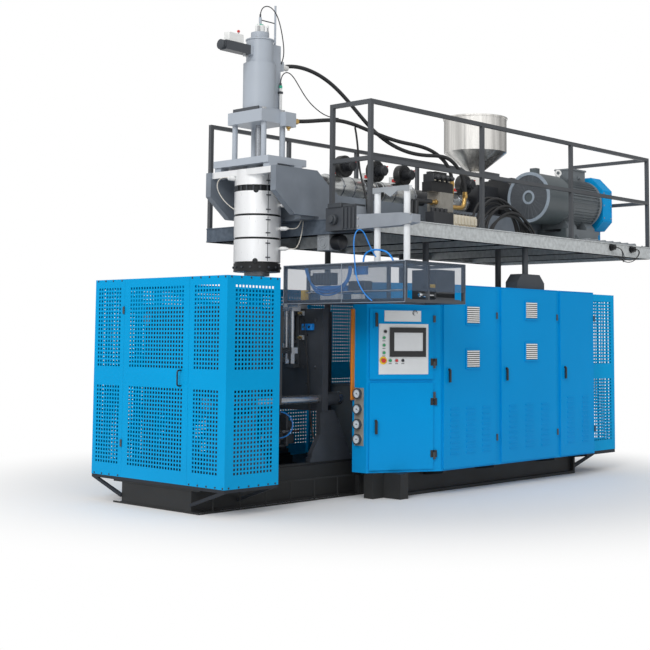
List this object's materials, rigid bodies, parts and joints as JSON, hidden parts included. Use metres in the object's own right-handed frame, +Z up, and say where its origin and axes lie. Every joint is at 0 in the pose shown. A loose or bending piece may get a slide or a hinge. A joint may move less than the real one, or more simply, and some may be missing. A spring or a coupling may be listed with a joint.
{
  "type": "blow moulding machine",
  "caption": "Accumulator-head extrusion blow moulding machine with raised extruder platform, guarded clamp cage, control cabinets and product take-out.",
  "frame": {"origin": "on the floor under the axis of the die head, which is the mould parting plane", "axes": "+X along the extruder towards its drive, +Y away from the control cabinets, +Z up"},
  "size_m": [7.161, 3.119, 5.06],
  "materials": {
    "arm_dark": "satin",
    "bar_chrome": "polished",
    "base_black": "satin",
    "bed_blue": "satin",
    "button_green": "gloss",
    "button_red": "gloss",
    "cabinet_blue": "satin powder coat",
    "clear_guard": "clear",
    "cover_blue": "satin",
    "curtain_orange": "satin",
    "frame_grey": "satin",
    "gauge_black": "gloss",
    "gear_dark": "satin",
    "gripper_steel": "machined",
    "guard_azure": "satin powder coat",
    "head_steel": "brushed",
    "hinge_steel": "polished",
    "hopper_steel": "brushed",
    "hose_black": "matt",
    "knob_black": "satin",
    "latch_black": "satin",
    "lift_steel": "turned",
    "motor_grey": "satin",
    "panel_aluminium": "brushed",
    "platen_grey": "satin",
    "platform_grey": "satin",
    "rail_grey": "satin",
    "ram_blue": "satin",
    "screw_steel": "ground",
    "shield_steel": "brushed",
    "stand_grey": "machined",
    "tank_grey": "satin"
  },
  "bodies": {
    "frame": {"clamp_base": "base_black", "main_base": "base_black", "cage_frame": "frame_grey", "guard_panels": "guard_azure", "outer_guard": "guard_azure", "door_hinges": "hinge_steel", "control_cabinet": "cabinet_blue", "main_cabinets": "cabinet_blue", "pressure_gauges": "gauge_black", "light_curtain": "curtain_orange", "power_unit": "tank_grey", "lift_tubes": "lift_steel", "blow_stand": "stand_grey"},
    "cage_door": {"cage_door": "guard_azure"},
    "control_upper_door": {"control_upper_door": "cabinet_blue", "control_panel": "panel_aluminium"},
    "control_lower_door": {"control_lower_door": "cabinet_blue"},
    "cabinet_door_1": {"cabinet_door_1": "cabinet_blue"},
    "cabinet_door_2": {"cabinet_door_2": "cabinet_blue"},
    "cabinet_door_3": {"cabinet_door_3": "cabinet_blue"},
    "clamp_right": {"right_platen": "platen_grey", "tie_bars": "bar_chrome", "clamp_yoke": "platen_grey"},
    "clamp_left": {"left_platen": "platen_grey", "clamp_rod": "bar_chrome"},
    "blow_pin": {"blow_pin": "bar_chrome"},
    "platform": {"platform": "platform_grey", "lift_screws": "lift_steel", "handrails": "rail_grey", "extruder_bed": "bed_blue", "die_head": "head_steel", "ram_stool": "ram_blue", "ram_cylinder": "ram_blue", "extruder_barrel": "shield_steel", "gearbox": "gear_dark", "hopper": "hopper_steel", "drive_motor": "motor_grey", "belt_cover": "cover_blue", "hydraulic_lines": "hose_black", "take_out_arm": "arm_dark"},
    "ram": {"ram_rod": "bar_chrome"},
    "screw": {"extruder_screw": "screw_steel"},
    "motor_pulley": {"motor_pulley": "lift_steel"},
    "gearbox_pulley": {"gearbox_pulley": "lift_steel"},
    "take_out": {"take_out_unit": "arm_dark", "take_out_guard": "clear_guard"},
    "gripper": {"gripper": "gripper_steel"},
    "latch_handle_1": {"latch_handle_1": "latch_black"},
    "latch_handle_2": {"latch_handle_2": "latch_black"},
    "latch_handle_3": {"latch_handle_3": "latch_black"},
    "latch_handle_4": {"latch_handle_4": "latch_black"},
    "latch_handle_5": {"latch_handle_5": "latch_black"},
    "push_button_1": {"push_button_1": "button_green"},
    "push_button_2": {"push_button_2": "button_green"},
    "push_button_3": {"push_button_3": "button_green"},
    "push_button_4": {"push_button_4": "button_green"},
    "push_button_5": {"push_button_5": "button_red"},
    "emergency_stop": {"emergency_stop": "button_red"},
    "selector_switch": {"selector_switch": "knob_black"},
    "key_switch": {"key_switch": "hinge_steel"}
  },
  "joints": [
    {"name": "cage_door_swing", "type": "hinge", "parent": "frame", "child": "cage_door", "pos_m": [-1.277, 0.5105, 1.2], "axis": [0, 0, -1], "range_deg": [0, 100]},
    {"name": "upper_door_swing", "type": "hinge", "parent": "frame", "child": "control_upper_door", "pos_m": [1.30914, -1.2685, 1.54], "axis": [0, 0, 1], "range_deg": [0, 95]},
    {"name": "lower_door_swing", "type": "hinge", "parent": "frame", "child": "control_lower_door", "pos_m": [1.30914, -1.2685, 0.714], "axis": [0, 0, 1], "range_deg": [0, 95]},
    {"name": "cabinet_door_1_swing", "type": "hinge", "parent": "frame", "child": "cabinet_door_1", "pos_m": [2.3315, -1.317, 1.208], "axis": [0, 0, 1], "range_deg": [0, 95]},
    {"name": "cabinet_door_2_swing", "type": "hinge", "parent": "frame", "child": "cabinet_door_2", "pos_m": [3.5015, -1.317, 1.208], "axis": [0, 0, 1], "range_deg": [0, 95]},
    {"name": "cabinet_door_3_swing", "type": "hinge", "parent": "frame", "child": "cabinet_door_3", "pos_m": [4.2975, -1.317, 1.208], "axis": [0, 0, 1], "range_deg": [0, 95]},
    {"name": "latch_handle_1_turn", "type": "hinge", "parent": "control_upper_door", "child": "latch_handle_1", "pos_m": [0.75114, -0.97068, 1.845], "axis": [-0.4695, -0.8829, 0], "range_deg": [-90, 0]},
    {"name": "latch_handle_2_turn", "type": "hinge", "parent": "control_lower_door", "child": "latch_handle_2", "pos_m": [0.75114, -0.97068, 0.77], "axis": [-0.4695, -0.8829, 0], "range_deg": [0, 90]},
    {"name": "latch_handle_3_turn", "type": "hinge", "parent": "cabinet_door_1", "child": "latch_handle_3", "pos_m": [1.499, -1.316, 1.28], "axis": [0, -1, 0], "range_deg": [0, 90]},
    {"name": "latch_handle_4_turn", "type": "hinge", "parent": "cabinet_door_2", "child": "latch_handle_4", "pos_m": [2.506, -1.316, 1.28], "axis": [0, -1, 0], "range_deg": [0, 90]},
    {"name": "latch_handle_5_turn", "type": "hinge", "parent": "cabinet_door_3", "child": "latch_handle_5", "pos_m": [3.66, -1.316, 1.28], "axis": [0, -1, 0], "range_deg": [0, 90]},
    {"name": "push_button_1_press", "type": "slide", "parent": "control_upper_door", "child": "push_button_1", "axis": [-0.4695, -0.8829, 0], "range_m": [-0.005, 0], "stiffness_N_per_m": 400},
    {"name": "push_button_2_press", "type": "slide", "parent": "control_upper_door", "child": "push_button_2", "axis": [-0.4695, -0.8829, 0], "range_m": [-0.005, 0], "stiffness_N_per_m": 400},
    {"name": "push_button_3_press", "type": "slide", "parent": "control_upper_door", "child": "push_button_3", "axis": [-0.4695, -0.8829, 0], "range_m": [-0.005, 0], "stiffness_N_per_m": 400},
    {"name": "push_button_4_press", "type": "slide", "parent": "control_upper_door", "child": "push_button_4", "axis": [-0.4695, -0.8829, 0], "range_m": [-0.005, 0], "stiffness_N_per_m": 400},
    {"name": "push_button_5_press", "type": "slide", "parent": "control_upper_door", "child": "push_button_5", "axis": [-0.4695, -0.8829, 0], "range_m": [-0.005, 0], "stiffness_N_per_m": 400},
    {"name": "emergency_stop_press", "type": "slide", "parent": "control_upper_door", "child": "emergency_stop", "axis": [-0.4695, -0.8829, 0], "range_m": [-0.005, 0], "stiffness_N_per_m": 600},
    {"name": "selector_turn", "type": "hinge", "parent": "control_upper_door", "child": "selector_switch", "pos_m": [0.83855, -1.01716, 1.668], "axis": [-0.4695, -0.8829, 0], "range_deg": [-45, 45]},
    {"name": "key_turn", "type": "hinge", "parent": "control_upper_door", "child": "key_switch", "pos_m": [1.00808, -1.10729, 1.375], "axis": [-0.4695, -0.8829, 0], "range_deg": [-90, 0]},
    {"name": "clamp_close", "type": "slide", "parent": "frame", "child": "clamp_right", "axis": [-1, 0, 0], "range_m": [0, 0.15]},
    {"name": "clamp_follow", "type": "slide", "parent": "frame", "child": "clamp_left", "axis": [1, 0, 0], "range_m": [0, 0.15]},
    {"name": "blow_pin_lift", "type": "slide", "parent": "frame", "child": "blow_pin", "axis": [0, 0, 1], "range_m": [0, 0.25]},
    {"name": "platform_lift", "type": "slide", "parent": "frame", "child": "platform", "axis": [0, 0, 1], "range_m": [0, 0.15]},
    {"name": "ram_stroke", "type": "slide", "parent": "platform", "child": "ram", "axis": [0, 0, 1], "range_m": [-0.3, 0]},
    {"name": "screw_spin", "type": "hinge", "parent": "platform", "child": "screw", "pos_m": [0.36, 0, 3.25], "axis": [1, 0, 0], "continuous": true},
    {"name": "motor_pulley_spin", "type": "hinge", "parent": "platform", "child": "motor_pulley", "pos_m": [5.28, -0.65, 3.33], "axis": [1, 0, 0], "continuous": true},
    {"name": "gearbox_pulley_spin", "type": "hinge", "parent": "platform", "child": "gearbox_pulley", "pos_m": [5.28, 0, 3.4], "axis": [1, 0, 0], "continuous": true},
    {"name": "take_out_height", "type": "slide", "parent": "platform", "child": "take_out", "axis": [0, 0, 1], "range_m": [0, 0.15]},
    {"name": "gripper_travel", "type": "slide", "parent": "take_out", "child": "gripper", "axis": [0, -1, 0], "range_m": [0, 1.15]}
  ],
  "couplings": [
    {"joint": "clamp_follow", "follows": "clamp_close", "ratio": 1},
    {"joint": "motor_pulley_spin", "follows": "gearbox_pulley_spin", "ratio": 1.9231},
    {"joint": "screw_spin", "follows": "gearbox_pulley_spin", "ratio": 0.1}
  ]
}
